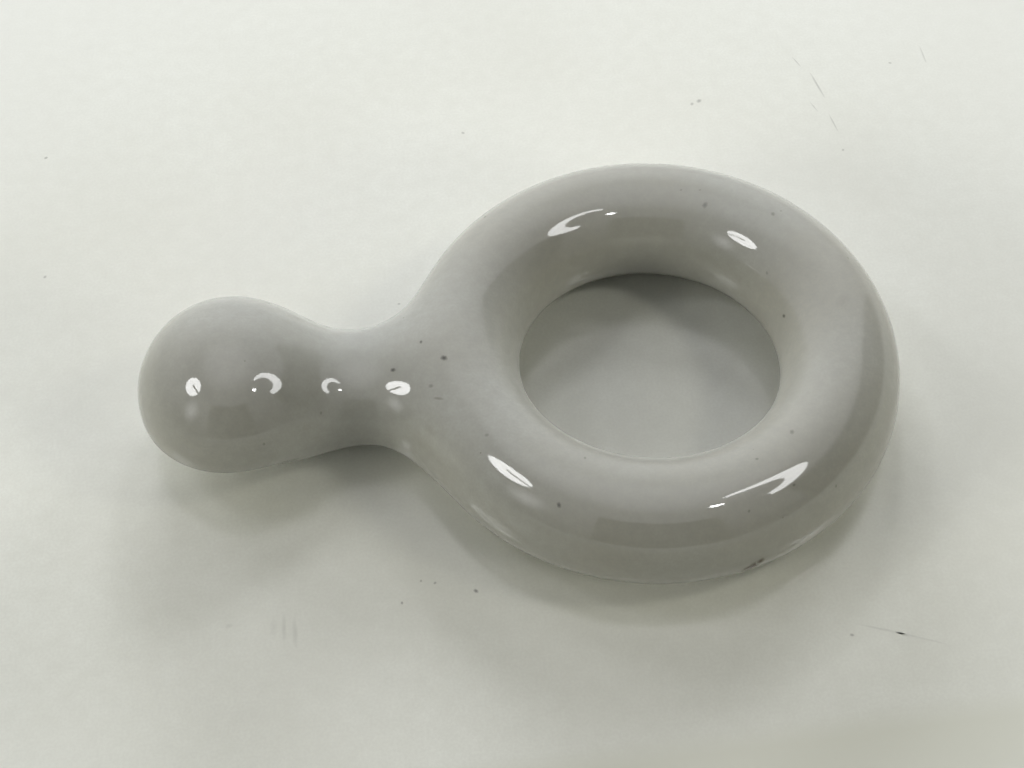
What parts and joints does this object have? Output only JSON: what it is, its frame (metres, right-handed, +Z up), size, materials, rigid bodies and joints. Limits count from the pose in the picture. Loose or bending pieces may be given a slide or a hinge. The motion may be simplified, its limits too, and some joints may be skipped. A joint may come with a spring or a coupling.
{
  "type": "chopstick rest",
  "caption": "White glazed porcelain chopstick rest: a thick flat ring with a low waisted neck and a raised round bulb at its end.",
  "frame": {"origin": "on the table, under the middle of the whole length and width", "axes": "+Z up from the table, -X towards the tip of the bulb, +X towards the ring"},
  "size_m": [0.064, 0.042, 0.0118],
  "materials": {
    "clay": "bare biscuit porcelain, matt",
    "glaze": "glossy clear glaze over pale grey-white porcelain"
  },
  "bodies": {
    "root": {"ring": "clay", "handle": "clay", "glaze": "glaze"}
  },
  "joints": []
}
